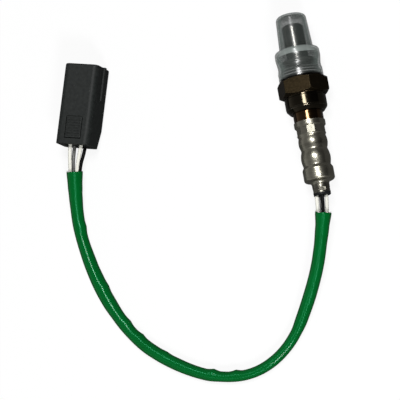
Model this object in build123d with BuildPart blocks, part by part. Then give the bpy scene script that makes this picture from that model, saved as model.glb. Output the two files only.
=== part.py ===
from build123d import *
import os
from math import cos, radians, sin, tan

# Heated four-wire oxygen sensor with its wiring lead, four-way connector and push-on transit cap.
# Millimetres. The origin is the centre of the seat face under the hexagon, +Y runs along the axis to
# the sensing tip, +Z is up, and the sensor lies on one flat of its hexagon.

# ---- driving dimensions ------------------------------------------------------------------------

# housing, outside
hex_flats = 22.0
hex_height = 7.9
hex_chamfer_angle = 30
washer_face_margin = 0.05
collar_wall = 1.85
collar_height = 5.2
collar_edge = 0.3
step_height = 1.0
step_inset = 0.45
roll_groove_depth = 0.35
roll_groove_width = 0.4
swage_height = 1.8
swage_front_inset = 0.15
swage_rear_inset = 1.65

# thread
thread_diameter = 18.0
thread_pitch = 1.5
thread_turns = 4
thread_relief_depth = 1.0
thread_relief_length = 1.8
thread_runout = 0.2
thread_nose_land = 0.9
thread_nose_chamfer = 0.8

# housing, inside
nose_bore_radius = 4.9
main_bore_radius = 8.2
seat_depth = 0.6
rolled_rim_thickness = 0.8
front_lip_thickness = 0.7
fit_clearance = 0.05

# gasket
gasket_width = 1.85
gasket_height = 1.7
gasket_strip = 0.35
gasket_opening = 0.3
gasket_rounding = 0.75

# sensing tip
outer_tube_radius = 5.25
outer_tube_reach = 27.8
outer_tube_wall = 0.35
outer_tube_rounding = 1.8
outer_tip_hole_radius = 1.0
tube_gap = 1.0
tip_gap = 1.3
inner_tube_wall = 0.3
inner_tube_rounding = 1.4
inner_tip_hole_radius = 0.6
tube_flange_width = 0.6
tube_flange_thickness = 0.5
outer_hole_radius = 0.65
outer_holes_in_ring = 8
outer_hole_stations = (17.6, 23.8)
inner_hole_radius = 0.5
inner_holes_in_ring = 6
inner_hole_stations = (20.7,)

# sensing element and the packing that holds it
element_width = 4.0
element_thickness = 1.3
element_clearance = 0.1
element_tip_gap = 1.5
element_tail = 1.1
lower_ceramic_thickness = 2.8
lower_ceramic_nose_length = 8.0
talc_thickness = 4.6
upper_ceramic_flange = 5.3
upper_ceramic_length = 18.1
upper_ceramic_gap = 0.75
packing_ring_gap = 0.3
packing_ring_bevel = 0.5

# inner sleeve and upper shell
inner_sleeve_inset = 1.0
inner_sleeve_wall = 0.55
inner_sleeve_flange = 0.6
sleeve_gap_to_shell = 4.7
shell_wall = 0.4
shell_band_length = 2.3
shell_band_overlap = 1.8
shell_step_flank = 0.5
shell_crimp_length = 3.45
shell_crimp_inset = 0.16
shell_crimp_facets = 12
shell_crimp_run_out = 0.15
shell_bend = 0.5
shell_flank = 1.15
shell_dip_inset = 0.65
shell_dip_rounding = 1.1
shell_groove_inset = 0.95
shell_groove_rounding = 2.0
first_bulge_step = 0.2
first_bulge_rise = 3.0
first_bulge_fall = 3.4
first_bulge_rounding = 8.0
second_bulge_step = 0.25
second_bulge_rise = 3.8
second_bulge_fall = 4.25
second_bulge_rounding = 10.0
end_flank = 1.5
end_band_step = 0.25
end_band_length = 5.9
end_band_bend = 1.3
shoulder_fall = 0.3
shoulder_rounding = 1.3
neck_fillet = 2.0
neck_radius = 4.2
neck_length = 6.0
neck_crimp_facets = 8
neck_crimp_length = 1.9
neck_crimp_margin = 0.6

# terminals inside the upper shell
separator_clearance = 0.15
separator_length = 14.2
separator_floor_thickness = 3.6
separator_cavity_corner = 0.8
separator_edge = 0.4
contact_strip = 0.25
contact_width = 1.3
contact_offset = 1.15
contact_setback = 1.0
contact_bow_setback = 4.5
contact_bow_length = 4.0
contact_rise = 0.9
crimp_barrel_wall = 0.1
crimp_barrel_length = 3.2

# rubber grommet
grommet_gap = 2.0
grommet_clearance = 0.1
grommet_bevel = 0.9
grommet_rim_step = 0.05
grommet_rim_length = 1.1
grommet_rim_edge = 0.25

# protective cap
cap_wall = 0.85
cap_mouth = 0.5
cap_skirt_end = 4.2
cap_waist = 6.6
cap_grip_wall = 1.3
cap_grip_length = 2.0
cap_bulge = 11.4
cap_bulge_rise = 0.15
cap_shoulder = 15.1
cap_tube_clearance = 1.2
cap_tube_draft = 0.95
cap_tip_gap = 4.1
cap_mouth_edge = 0.3
cap_skirt_rounding = 2.0
cap_waist_rounding = 6.0
cap_inner_rounding = 3.0
cap_tip_rounding = 2.4
cap_small_rounding = 0.5

# wiring lead
wire_radius = 0.9
wire_circle_radius = 2.5
first_wire_angle = 157
sleeve_wall = 0.35
sleeve_clearance = 0.05
sleeve_bell = 0.4
sleeve_bell_length = 7.0
sleeve_start_gap = 4.5
sleeve_end_gap = 2.0
sleeve_lift = 0.1
lead_start_gap = 3.7
bend_share = 0.45
# How far each wire lies from the middle of the bundle, in wire radii.
lay_inside = 0.5
lay_tight = 1.65
lay_loose = 2.4
lay_mouth = 2.75

# connector
connector_length = 40.3
connector_entry_x = -119.21
connector_entry_y = -4.86
connector_turn = 17.0
connector_edge = 2.8
connector_mouth_rounding = 0.8
tail_length = 9.0
tail_draw_beside = 0.4
tail_draw_under = 2.2
hood_depth = 13.0
hood_wall = 1.5
hood_gap_beside = 2.25
hood_gap_above = 1.95
hood_corner = 1.0
terminal_pitch = 6.0
terminal_cavity = 2.7
tower_wall = 0.95
terminal_clearance = 0.05
seal_bore_spacing = 1.0
seal_bore_depth = 9.5
guide_rib_length = 17.0
guide_rib_width = 2.2
guide_rib_height = 0.7
guide_rib_drop = 0.4
pad_length = 10.5
pad_width = 8.0
pad_from_end = 3.1
pad_ribs = 7
pad_rib_height = 0.35
pad_margin = 0.6
lever_slot = 0.4
lever_thickness = 1.3
lever_root_groove = 0.35
retainer_length = 2.9
retainer_station = 2.0
retainer_margin = 0.7
retainer_overreach = 0.5
receptacle_length = 10.0
receptacle_recess = 1.5
terminal_sheet = 0.3
terminal_crimp_length = 3.0
terminal_crimp_depth = 8.75
terminal_neck = 1.2
wire_seal_wall = 1.3
wire_seal_lips = 3
wire_seal_length = 7.0
wire_seal_recess = 1.0
wire_fan_length = 1.0

# ---- radii and stations worked out from the sizes above -----------------------------------------

floor = -hex_flats / 2
washer_face_radius = hex_flats / 2 - washer_face_margin
collar_radius = main_bore_radius + collar_wall
step_rear = -hex_height - step_height
collar_rear = step_rear - collar_height
swage_front = collar_rear - roll_groove_width
housing_rear = swage_front - swage_height
rim_inside = housing_rear + rolled_rim_thickness
thread_radius = thread_diameter / 2
thread_root = thread_radius - 0.5413 * thread_pitch
thread_relief_radius = thread_radius - thread_relief_depth
thread_start = thread_relief_length + thread_runout
thread_end = thread_start + thread_turns * thread_pitch
housing_front = thread_end + thread_nose_land + thread_nose_chamfer
flange_top = housing_front - front_lip_thickness
flange_middle = flange_top - tube_flange_thickness
flange_bottom = flange_middle - tube_flange_thickness
tube_flange_radius = outer_tube_radius + tube_flange_width
inner_tube_radius = outer_tube_radius - outer_tube_wall - tube_gap
inner_tube_reach = outer_tube_reach - outer_tube_wall - tip_gap

packed_radius = main_bore_radius - fit_clearance
lower_ceramic_rear = -seat_depth - lower_ceramic_thickness
talc_rear = lower_ceramic_rear - talc_thickness
upper_flange_rear = talc_rear - upper_ceramic_flange
upper_ceramic_rear = talc_rear - upper_ceramic_length
sleeve_flange_front = rim_inside + inner_sleeve_flange
inner_sleeve_radius = main_bore_radius - inner_sleeve_inset
inner_sleeve_bore = inner_sleeve_radius - inner_sleeve_wall
upper_ceramic_radius = inner_sleeve_bore - upper_ceramic_gap

shell_front = housing_rear - sleeve_gap_to_shell
band_radius = inner_sleeve_radius + shell_wall
band_rear = shell_front - shell_band_length
crimp_radius = inner_sleeve_radius - shell_crimp_inset
crimp_front = band_rear - shell_step_flank
crimp_rear = crimp_front - shell_crimp_length
first_dip = crimp_rear - shell_flank
first_bulge = first_dip - first_bulge_rise
groove = first_bulge - first_bulge_fall
second_bulge = groove - second_bulge_rise
second_dip = second_bulge - second_bulge_fall
end_band_front = second_dip - end_flank
end_band_radius = inner_sleeve_radius + end_band_step
shoulder = end_band_front - end_band_length
neck_end = shoulder - neck_length
neck_crimp_rear = neck_end + neck_crimp_margin
neck_crimp_front = neck_crimp_rear + neck_crimp_length
neck_bore = neck_radius - shell_wall
first_bulge_radius = inner_sleeve_radius + first_bulge_step
second_bulge_radius = inner_sleeve_radius + second_bulge_step
dip_radius = inner_sleeve_radius - shell_dip_inset
groove_radius = inner_sleeve_radius - shell_groove_inset

separator_radius = groove_radius - shell_wall - separator_clearance
separator_rear = end_band_front
separator_front = separator_rear + separator_length
separator_floor = separator_rear + separator_floor_thickness
crimp_barrel_radius = wire_radius + crimp_barrel_wall
crimp_barrel_front = separator_floor + crimp_barrel_radius
crimp_barrel_rear = crimp_barrel_front - crimp_barrel_length
element_front = inner_tube_reach - element_tip_gap
element_rear = separator_floor + element_tail
grommet_front = separator_rear - grommet_gap
grommet_end = neck_end - grommet_rim_length

parts = []


def finish(builder, label):
    """Label one finished piece and keep it for writing."""
    builder.part.label = label
    parts.append(builder.part)


# ---- housing ------------------------------------------------------------------------------------

hex_corner = hex_flats / 2 / cos(radians(30))
chamfer_drop = (hex_corner - washer_face_radius) * tan(radians(hex_chamfer_angle))

with BuildPart() as hex_shell:
    with BuildSketch(Plane.XZ):
        RegularPolygon(hex_flats / 2, 6, major_radius=False)
    extrude(amount=hex_height)
    # Both faces of the hexagon are turned off at 30 degrees.
    with BuildSketch():
        with BuildLine():
            Polyline(
                (0, 0),
                (washer_face_radius, 0),
                (hex_corner, -chamfer_drop),
                (hex_corner, chamfer_drop - hex_height),
                (washer_face_radius, -hex_height),
                (0, -hex_height),
                close=True,
            )
        make_face()
    revolve(axis=Axis.Y, mode=Mode.INTERSECT)
    # The step, the collar and the rim that is rolled in over the packing.
    with BuildSketch():
        with BuildLine():
            Polyline(
                (0, -hex_height / 2),
                (collar_radius - step_inset, -hex_height / 2),
                (collar_radius - step_inset, step_rear),
                (collar_radius - collar_edge, step_rear),
                (collar_radius, step_rear - collar_edge),
                (collar_radius, collar_rear + collar_edge),
                (collar_radius - collar_edge, collar_rear),
                (collar_radius - roll_groove_depth, collar_rear),
                (collar_radius - roll_groove_depth, swage_front),
                (collar_radius - swage_front_inset, swage_front),
                (collar_radius - swage_rear_inset, housing_rear),
                (0, housing_rear),
                close=True,
            )
        make_face()
    revolve(axis=Axis.Y)
    # The thread's ridges stand on the shank as rings of the true 60 degree section.
    thread_outline = [(0, -hex_height / 2), (thread_relief_radius, -hex_height / 2)]
    thread_outline.append((thread_relief_radius, thread_relief_length))
    for turn in range(thread_turns):
        ridge = thread_start + turn * thread_pitch
        thread_outline.append((thread_radius, ridge))
        thread_outline.append((thread_radius, ridge + thread_pitch / 8))
        thread_outline.append((thread_root, ridge + thread_pitch * 7 / 16))
        thread_outline.append((thread_root, ridge + thread_pitch * 11 / 16))
    thread_outline.append((thread_radius, thread_end))
    thread_outline.append((thread_radius, thread_end + thread_nose_land))
    thread_outline.append((thread_radius - thread_nose_chamfer, housing_front))
    thread_outline.append((0, housing_front))
    with BuildSketch():
        with BuildLine():
            Polyline(*thread_outline, close=True)
        make_face()
    revolve(axis=Axis.Y)
    # The bore: front lip, groove for the tubes' flanges, nose bore, seat, main bore, rolled rim.
    with BuildSketch():
        with BuildLine():
            Polyline(
                (0, housing_front),
                (outer_tube_radius + fit_clearance, housing_front),
                (outer_tube_radius + fit_clearance, flange_top),
                (tube_flange_radius + fit_clearance, flange_top),
                (tube_flange_radius + fit_clearance, flange_bottom),
                (nose_bore_radius, flange_bottom),
                (nose_bore_radius, -seat_depth),
                (main_bore_radius, -seat_depth),
                (main_bore_radius, rim_inside),
                (inner_sleeve_radius + fit_clearance, rim_inside),
                (inner_sleeve_radius + fit_clearance, housing_rear),
                (0, housing_rear),
                close=True,
            )
        make_face()
    revolve(axis=Axis.Y, mode=Mode.SUBTRACT)
finish(hex_shell, "hex_shell")

# The gasket is one folded strip, held captive between the seat face and the first thread ridge.
gasket_bore = thread_relief_radius + fit_clearance
gasket_radius = gasket_bore + gasket_width
gasket_middle = gasket_height / 2
with BuildPart() as sealing_gasket:
    with BuildSketch():
        with Locations(((gasket_bore + gasket_radius) / 2, gasket_middle)):
            RectangleRounded(gasket_width, gasket_height, gasket_rounding)
            RectangleRounded(
                gasket_width - 2 * gasket_strip,
                gasket_height - 2 * gasket_strip,
                gasket_rounding - gasket_strip,
                mode=Mode.SUBTRACT,
            )
        with Locations((gasket_bore, gasket_middle)):
            Rectangle(2 * gasket_strip + fit_clearance, gasket_opening, mode=Mode.SUBTRACT)
    revolve(axis=Axis.Y)
finish(sealing_gasket, "sealing_gasket")

# ---- sensing tip --------------------------------------------------------------------------------


def perforated_tube(radius, reach, wall, rounding, tip_hole, flange_front, hole_radius, holes, rings):
    """A deep-drawn tube, flanged at the housing, with rings of gas holes and a hole in its tip."""
    with BuildPart() as tube:
        with BuildSketch():
            with BuildLine():
                FilletPolyline(
                    (tip_hole, reach),
                    (radius, reach),
                    (radius, flange_front),
                    radius=[rounding],
                )
                Polyline(
                    (radius, flange_front),
                    (tube_flange_radius, flange_front),
                    (tube_flange_radius, flange_front - tube_flange_thickness),
                    (radius - wall, flange_front - tube_flange_thickness),
                )
                FilletPolyline(
                    (radius - wall, flange_front - tube_flange_thickness),
                    (radius - wall, reach - wall),
                    (tip_hole, reach - wall),
                    radius=[rounding - wall],
                )
                Line((tip_hole, reach - wall), (tip_hole, reach))
            make_face()
        revolve(axis=Axis.Y)
        for ring, station in enumerate(rings):
            for spoke in range(holes // 2):
                angle = radians(360 * (spoke + ring / 2) / holes)
                with BuildSketch(Plane((0, station, 0), z_dir=(cos(angle), 0, sin(angle)))):
                    Circle(hole_radius)
                extrude(amount=2 * radius, both=True, mode=Mode.SUBTRACT)
    return tube


outer_protection_tube = perforated_tube(
    outer_tube_radius,
    outer_tube_reach,
    outer_tube_wall,
    outer_tube_rounding,
    outer_tip_hole_radius,
    flange_top,
    outer_hole_radius,
    outer_holes_in_ring,
    outer_hole_stations,
)
finish(outer_protection_tube, "outer_protection_tube")

inner_protection_tube = perforated_tube(
    inner_tube_radius,
    inner_tube_reach,
    inner_tube_wall,
    inner_tube_rounding,
    inner_tip_hole_radius,
    flange_middle,
    inner_hole_radius,
    inner_holes_in_ring,
    inner_hole_stations,
)
finish(inner_protection_tube, "inner_protection_tube")

# The element is a laminated zirconia strip, narrowed a little at its tip.
with BuildPart() as sensing_element:
    with BuildSketch(Plane.XZ.offset(-element_front)):
        Rectangle(element_width, element_thickness)
    extrude(amount=element_front - element_rear)
    chamfer(sensing_element.faces().sort_by(Axis.Y)[-1].edges().filter_by(Axis.Z), element_width / 8)
finish(sensing_element, "sensing_element")

# ---- packing ------------------------------------------------------------------------------------

lower_ceramic_nose = lower_ceramic_nose_length - seat_depth

with BuildPart() as lower_ceramic:
    with BuildSketch():
        with BuildLine():
            Polyline(
                (0, lower_ceramic_nose),
                (nose_bore_radius - fit_clearance, lower_ceramic_nose),
                (nose_bore_radius - fit_clearance, -seat_depth),
                (packed_radius, -seat_depth),
                (packed_radius, lower_ceramic_rear),
                (0, lower_ceramic_rear),
                close=True,
            )
        make_face()
    revolve(axis=Axis.Y)
    with BuildSketch(Plane.XZ.offset(-lower_ceramic_nose)):
        Rectangle(element_width + element_clearance, element_thickness + element_clearance)
    extrude(amount=lower_ceramic_nose - lower_ceramic_rear, mode=Mode.SUBTRACT)
finish(lower_ceramic, "lower_ceramic")

# Pressed talc fills the bore and grips the element on all four sides.
with BuildPart() as talc_seal:
    with BuildSketch(Plane.XZ.offset(-lower_ceramic_rear)):
        Circle(packed_radius)
        Rectangle(element_width, element_thickness, mode=Mode.SUBTRACT)
    extrude(amount=talc_thickness)
finish(talc_seal, "talc_seal")

with BuildPart() as upper_ceramic:
    with BuildSketch():
        with BuildLine():
            Polyline(
                (0, talc_rear),
                (packed_radius, talc_rear),
                (packed_radius, upper_flange_rear),
                (upper_ceramic_radius, upper_flange_rear),
                (upper_ceramic_radius, upper_ceramic_rear),
                (0, upper_ceramic_rear),
                close=True,
            )
        make_face()
    revolve(axis=Axis.Y)
    with BuildSketch(Plane.XZ.offset(-talc_rear)):
        Rectangle(element_width + element_clearance, element_thickness + element_clearance)
    extrude(amount=upper_ceramic_length, mode=Mode.SUBTRACT)
finish(upper_ceramic, "upper_ceramic")

# The packing ring carries the load of the rolled rim from the sleeve's flange to the ceramic.
packing_ring_bore = upper_ceramic_radius + packing_ring_gap
with BuildPart() as packing_ring:
    with BuildSketch():
        with BuildLine():
            Polyline(
                (packing_ring_bore, upper_flange_rear),
                (packed_radius, upper_flange_rear),
                (packed_radius, sleeve_flange_front),
                (packing_ring_bore + packing_ring_bevel, sleeve_flange_front),
                (packing_ring_bore, sleeve_flange_front + packing_ring_bevel),
                close=True,
            )
        make_face()
    revolve(axis=Axis.Y)
finish(packing_ring, "packing_ring")

# ---- sleeve and upper shell ---------------------------------------------------------------------

inner_sleeve_end = shell_front - shell_band_overlap
with BuildPart() as inner_sleeve:
    with BuildSketch():
        with BuildLine():
            Polyline(
                (inner_sleeve_bore, sleeve_flange_front),
                (packed_radius, sleeve_flange_front),
                (packed_radius, rim_inside),
                (inner_sleeve_radius, rim_inside),
                (inner_sleeve_radius, inner_sleeve_end),
                (inner_sleeve_bore, inner_sleeve_end),
                close=True,
            )
        make_face()
    revolve(axis=Axis.Y)
finish(inner_sleeve, "inner_sleeve")

# One stainless tube: a band on the sleeve, a polygon crimp, two barrel-shaped bulges, the
# band over the grommet, and the neck that is crimped on the rubber.
with BuildPart() as upper_shell:
    with BuildSketch():
        with BuildLine():
            FilletPolyline(
                (band_radius, shell_front),
                (band_radius, band_rear),
                (crimp_radius, crimp_front + shell_crimp_run_out),
                (crimp_radius, crimp_rear - shell_crimp_run_out),
                (dip_radius, first_dip),
                (first_bulge_radius, first_bulge),
                (groove_radius, groove),
                (second_bulge_radius, second_bulge),
                (dip_radius, second_dip),
                (end_band_radius, end_band_front),
                (end_band_radius, shoulder),
                (neck_radius, shoulder - shoulder_fall),
                (neck_radius, neck_end),
                radius=[shell_bend] * 3
                + [shell_dip_rounding, first_bulge_rounding, shell_groove_rounding]
                + [second_bulge_rounding, shell_dip_rounding, end_band_bend]
                + [shoulder_rounding, neck_fillet],
            )
            offset(amount=shell_wall, side=Side.RIGHT)
        make_face()
    revolve(axis=Axis.Y)
    # The crimping jaws press two zones of the wall into polygons.
    for front, rear, corner_radius, facets in (
        (crimp_front, crimp_rear, crimp_radius, shell_crimp_facets),
        (neck_crimp_front, neck_crimp_rear, neck_radius, neck_crimp_facets),
    ):
        with BuildSketch(Plane.XZ.offset(-front)):
            Circle(2 * corner_radius)
        extrude(amount=front - rear, mode=Mode.SUBTRACT)
        with BuildSketch(Plane.XZ.offset(-front)):
            RegularPolygon(corner_radius, facets)
            RegularPolygon(corner_radius - shell_wall, facets, mode=Mode.SUBTRACT)
        extrude(amount=front - rear)
finish(upper_shell, "upper_shell")

# ---- terminals inside the upper shell -----------------------------------------------------------

wire_names = ("wire_white_a", "wire_black", "wire_white_b", "wire_grey")
wire_angles = [first_wire_angle - 90 * number for number in range(4)]
wire_places = [
    (wire_circle_radius * cos(radians(angle)), wire_circle_radius * sin(radians(angle)))
    for angle in wire_angles
]
barrel_reach = max(abs(place_x) for place_x, place_z in wire_places) + crimp_barrel_radius
separator_cavity = 2 * (barrel_reach + separator_clearance)

with BuildPart() as terminal_separator:
    with BuildSketch(Plane.XZ.offset(-separator_front)):
        Circle(separator_radius)
    extrude(amount=separator_front - separator_rear)
    chamfer(terminal_separator.edges().filter_by(GeomType.CIRCLE), separator_edge)
    with BuildSketch(Plane.XZ.offset(-separator_front)):
        RectangleRounded(separator_cavity, separator_cavity, separator_cavity_corner)
    extrude(amount=separator_front - separator_floor, mode=Mode.SUBTRACT)
    with BuildSketch(Plane.XZ.offset(-separator_floor)):
        with Locations(*wire_places):
            Circle(crimp_barrel_radius + fit_clearance)
    extrude(amount=separator_floor - separator_rear, mode=Mode.SUBTRACT)
finish(terminal_separator, "terminal_separator")

# Each contact is a bowed strip that presses on one pad of the element, with a barrel for its wire.
element_face = element_thickness / 2
contact_bow = separator_front - contact_bow_setback
for number, (place_x, place_z) in enumerate(wire_places):
    side_x = 1 if place_x > 0 else -1
    side_z = 1 if place_z > 0 else -1
    with BuildPart() as contact:
        with BuildSketch(Plane.YZ.offset(side_x * contact_offset)):
            with BuildLine():
                Polyline(
                    (separator_front - contact_setback, side_z * (element_face + contact_rise)),
                    (contact_bow, side_z * (element_face + contact_strip / 2)),
                    (crimp_barrel_front + contact_rise, side_z * (element_face + contact_rise)),
                    (crimp_barrel_front, side_z * abs(place_z)),
                    (separator_floor + contact_strip, side_z * abs(place_z)),
                )
                offset(amount=contact_strip / 2)
            make_face()
        extrude(amount=contact_width / 2, both=True)
        # The bow is rubbed flat where it bears, so it lies on the pad's face.
        with BuildSketch(Plane.XY.offset(side_z * element_face)):
            with Locations((side_x * contact_offset, contact_bow)):
                Rectangle(2 * contact_width, contact_bow_length)
        extrude(amount=-side_z * contact_strip, mode=Mode.SUBTRACT)
        with BuildSketch(Plane.XZ.offset(-crimp_barrel_front)):
            with Locations((place_x, place_z)):
                Circle(crimp_barrel_radius)
        extrude(amount=crimp_barrel_length)
    finish(contact, f"contact_spring_{number + 1}")

# ---- protective cap -----------------------------------------------------------------------------

# Moulded in one piece: a waisted skirt that grips the thread, a round shoulder and a slim tube.
cap_mouth_radius = gasket_radius + fit_clearance
cap_skirt_radius = cap_mouth_radius + cap_wall
cap_bulge_radius = cap_skirt_radius + cap_bulge_rise
cap_tip_radius = outer_tube_radius + cap_tube_clearance + cap_wall
cap_tube_radius = cap_tip_radius + cap_tube_draft
cap_shoulder_rounding = 0.6 * (cap_skirt_radius - cap_tube_radius)
cap_roof = outer_tube_reach + cap_tip_gap
with BuildPart() as protective_cap:
    with BuildSketch():
        with BuildLine():
            FilletPolyline(
                (cap_mouth_radius, cap_mouth),
                (cap_skirt_radius, cap_mouth),
                (cap_skirt_radius, cap_skirt_end),
                (thread_radius + cap_grip_wall, cap_waist),
                (cap_bulge_radius, cap_bulge),
                (cap_skirt_radius, cap_shoulder),
                (cap_tube_radius, cap_shoulder),
                (cap_tip_radius, cap_roof + cap_wall),
                (0, cap_roof + cap_wall),
                radius=[
                    cap_mouth_edge,
                    cap_skirt_rounding,
                    cap_waist_rounding,
                    cap_waist_rounding,
                    cap_shoulder_rounding,
                    cap_small_rounding,
                    cap_tip_rounding,
                ],
            )
            Line((0, cap_roof + cap_wall), (0, cap_roof))
            FilletPolyline(
                (0, cap_roof),
                (cap_tip_radius - cap_wall, cap_roof),
                (cap_tube_radius - cap_wall, cap_shoulder - cap_wall),
                (cap_skirt_radius - cap_wall, cap_shoulder - cap_wall),
                (cap_bulge_radius - cap_wall, cap_bulge),
                (thread_radius, cap_waist + cap_grip_length / 2),
                (thread_radius, cap_waist - cap_grip_length / 2),
                (cap_mouth_radius, cap_skirt_end - cap_wall),
                (cap_mouth_radius, cap_mouth),
                radius=[
                    cap_tip_rounding - cap_wall,
                    cap_small_rounding,
                    cap_shoulder_rounding - cap_wall / 2,
                    cap_inner_rounding,
                    cap_small_rounding,
                    cap_small_rounding,
                    cap_small_rounding,
                ],
            )
        make_face()
    revolve(axis=Axis.Y)
finish(protective_cap, "protective_cap")

# ---- wiring lead --------------------------------------------------------------------------------

# The lead's middle line from the grommet to the connector: x, y and height above the floor. Most of
# it lies on the floor, at the sleeve's own radius.
bundle_inside = lay_inside * wire_radius
bundle_tight = lay_tight * wire_radius
bundle_loose = lay_loose * wire_radius
bundle_mouth = lay_mouth * wire_radius
sleeve_bore = bundle_loose + wire_radius + sleeve_clearance
sleeve_radius = sleeve_bore + sleeve_wall
lying = sleeve_radius + sleeve_lift
lead_points = (
    (-6.8, -84.6, 8.0),
    (-16.5, -103.7, 4.1),
    (-29.4, -123.9, lying),
    (-48.9, -133.6, lying),
    (-70.7, -132.0, lying),
    (-90.6, -120.0, lying),
    (-106.4, -105.3, lying),
    (-117.5, -84.9, lying),
    (-124.0, -63.3, 3.8),
    (-127.2, -38.5, 5.4),
    (-123.0, -15.0, 7.8),
)
lead_start = Vector(0, grommet_end - lead_start_gap, 0)
lead_line = [lead_start] + [Vector(x, y, floor + height) for x, y, height in lead_points]

# Where each wire lies in the bundle at each of those points: its angle from the inner side of the
# bend towards the top, and its distance from the middle line. The black wire and the first white one
# change places on the way, and then the bundle turns by a quarter to suit the connector.

def wire_lay(straight, crossing, crossed, turning, arrived):
    """One wire's places in the bundle: before, at and after the crossing, and round the quarter turn."""
    return (
        [(straight, bundle_tight)] * 5
        + [(straight, bundle_loose), crossing, (crossed, bundle_loose), (turning, bundle_loose)]
        + [(arrived, bundle_tight), (arrived, bundle_mouth)]
    )


wire_lays = {
    "wire_white_a": wire_lay(30, (255, bundle_inside), 120, 82, 45),
    "wire_black": wire_lay(120, (75, bundle_loose), 30, -8, -45),
    "wire_white_b": wire_lay(210, (210, bundle_loose), 210, 172, 135),
    "wire_grey": wire_lay(300, (300, bundle_loose), 300, 262, 225),
}

tower_size = terminal_pitch + terminal_cavity + 2 * tower_wall
connector_width = tower_size + 2 * (hood_gap_beside + hood_wall)
connector_depth = tower_size + 2 * (hood_gap_above + hood_wall)
mating_end = connector_length / 2
wire_end = -connector_length / 2
terminal_crimp_station = wire_end + terminal_crimp_depth
connector_heading = Vector(sin(radians(connector_turn)), cos(radians(connector_turn)), 0)
connector_entry = Vector(connector_entry_x, connector_entry_y, floor + connector_depth / 2)
connector_frame = Plane(
    origin=connector_entry - connector_heading * wire_end,
    x_dir=(connector_heading.Y, -connector_heading.X, 0),
    z_dir=(0, 0, 1),
)
half_pitch = terminal_pitch / 2
cavity_places = {
    "wire_white_b": (-half_pitch, half_pitch),
    "wire_white_a": (half_pitch, half_pitch),
    "wire_grey": (-half_pitch, -half_pitch),
    "wire_black": (half_pitch, -half_pitch),
}


def in_connector(across, along, up):
    """A point of the connector's own frame: across its width, towards its mating end, and up."""
    return connector_frame.from_local_coords((across, along, up))


def connector_section(along):
    """The plane across the connector at one station, facing its wire end, with its y axis up."""
    return Plane(
        origin=in_connector(0, along, 0), x_dir=connector_frame.x_dir, z_dir=-connector_frame.y_dir
    )


def corner_radii(points):
    """The largest arcs that the runs leave room for at each corner of a cord's path."""
    radii = []
    for before, corner, after in zip(points, points[1:], points[2:]):
        shorter_run = min((corner - before).length, (after - corner).length)
        half_turn = radians((corner - before).get_angle(after - corner) / 2)
        radii.append(bend_share * shorter_run / tan(half_turn))
    return radii


def sideways(line, index):
    """The level direction to the inner side of the bend at a point, stretched to suit its corner."""
    arriving = (line[index] - line[max(index - 1, 0)]) if index else (line[1] - line[0])
    leaving = (line[min(index + 1, len(line) - 1)] - line[index]) if index < len(line) - 1 else arriving
    first = Vector(arriving.Y, -arriving.X, 0).normalized()
    second = Vector(leaving.Y, -leaving.X, 0).normalized()
    middle = (first + second).normalized()
    return middle * (1 / middle.dot(first))


def swept(points, profile, label):
    """Sweep a round profile along runs joined by tangent arcs, and report the arcs' radii."""
    radii = corner_radii(points)
    print(label, "bend radii", [round(radius, 1) for radius in radii])
    with BuildPart() as cord:
        with BuildLine():
            FilletPolyline(*points, radius=radii)
        with BuildSketch(Plane(origin=points[0], z_dir=points[1] - points[0])):
            Circle(profile[0])
            if len(profile) > 1:
                Circle(profile[1], mode=Mode.SUBTRACT)
        sweep()
    return cord


wires = {}
for name, (place_x, place_z) in zip(wire_names, wire_places):
    wire_points = [Vector(place_x, crimp_barrel_rear, place_z), lead_start + Vector(place_x, 0, place_z)]
    for index, (angle, radius) in enumerate(wire_lays[name], start=1):
        inward = sideways(lead_line, index) * (radius * cos(radians(angle)))
        wire_points.append(lead_line[index] + inward + Vector(0, 0, radius * sin(radians(angle))))
    across, up = cavity_places[name]
    wire_points.append(in_connector(across, wire_end - wire_fan_length, up))
    wire_points.append(in_connector(across, terminal_crimp_station, up))
    wires[name] = swept(wire_points, (wire_radius,), name)
    finish(wires[name], name)

first_run = (lead_line[1] - lead_line[0]).normalized()
last_run = (lead_line[-1] - lead_line[-2]).normalized()
sleeve_line = [lead_line[0] + first_run * sleeve_start_gap]
sleeve_line += lead_line[1:-1]
sleeve_line += [lead_line[-1] - last_run * sleeve_end_gap]

# The sleeve is one braided tube, opened into a short bell at each end.
sleeve_tube = swept(sleeve_line, (sleeve_radius, sleeve_bore), "green_sleeve")
with BuildPart() as green_sleeve:
    add(sleeve_tube.part)
    for mouth, inward in ((sleeve_line[0], first_run), (sleeve_line[-1], -last_run)):
        bell_root = mouth + inward * sleeve_bell_length
        with BuildSketch(Plane(origin=mouth, z_dir=inward)):
            Circle(sleeve_radius + sleeve_bell)
        with BuildSketch(Plane(origin=bell_root, z_dir=inward)):
            Circle(sleeve_radius)
        loft()
        with BuildSketch(Plane(origin=mouth, z_dir=inward)):
            Circle(sleeve_bore + sleeve_bell)
        with BuildSketch(Plane(origin=bell_root, z_dir=inward)):
            Circle(sleeve_bore)
        loft(mode=Mode.SUBTRACT)
finish(green_sleeve, "green_sleeve")

# ---- rubber grommet -----------------------------------------------------------------------------

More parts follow.
